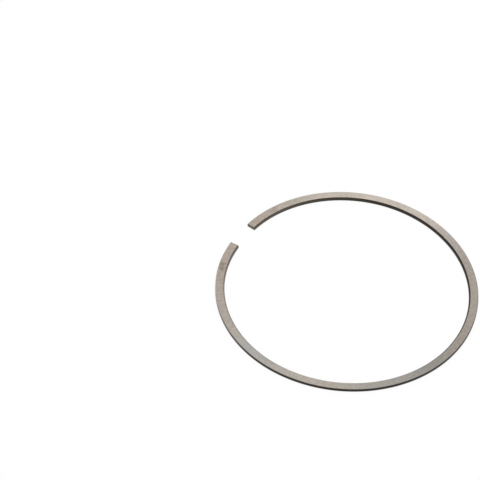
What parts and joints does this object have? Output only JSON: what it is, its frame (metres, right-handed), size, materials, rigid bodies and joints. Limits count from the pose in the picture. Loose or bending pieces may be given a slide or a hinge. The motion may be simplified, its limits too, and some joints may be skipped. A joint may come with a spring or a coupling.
{
  "type": "piston ring",
  "caption": "Compression ring for an engine piston: a thin flat steel band with a barrelled running face and an inside bevel, sprung open at a square-cut gap.",
  "frame": {"origin": "middle of the free ring's box, on the plane of its lower side face", "axes": "+Z along the ring's axis, from the lower side face to the upper one; -X towards the middle of the gap, +X towards the back of the ring; +Y across, from one tip's side to the other"},
  "size_m": [0.094, 0.096, 0.0012],
  "materials": {
    "ring_steel": "satin, finely lapped side faces"
  },
  "bodies": {
    "root": {"piston_ring": "ring_steel"}
  },
  "joints": []
}
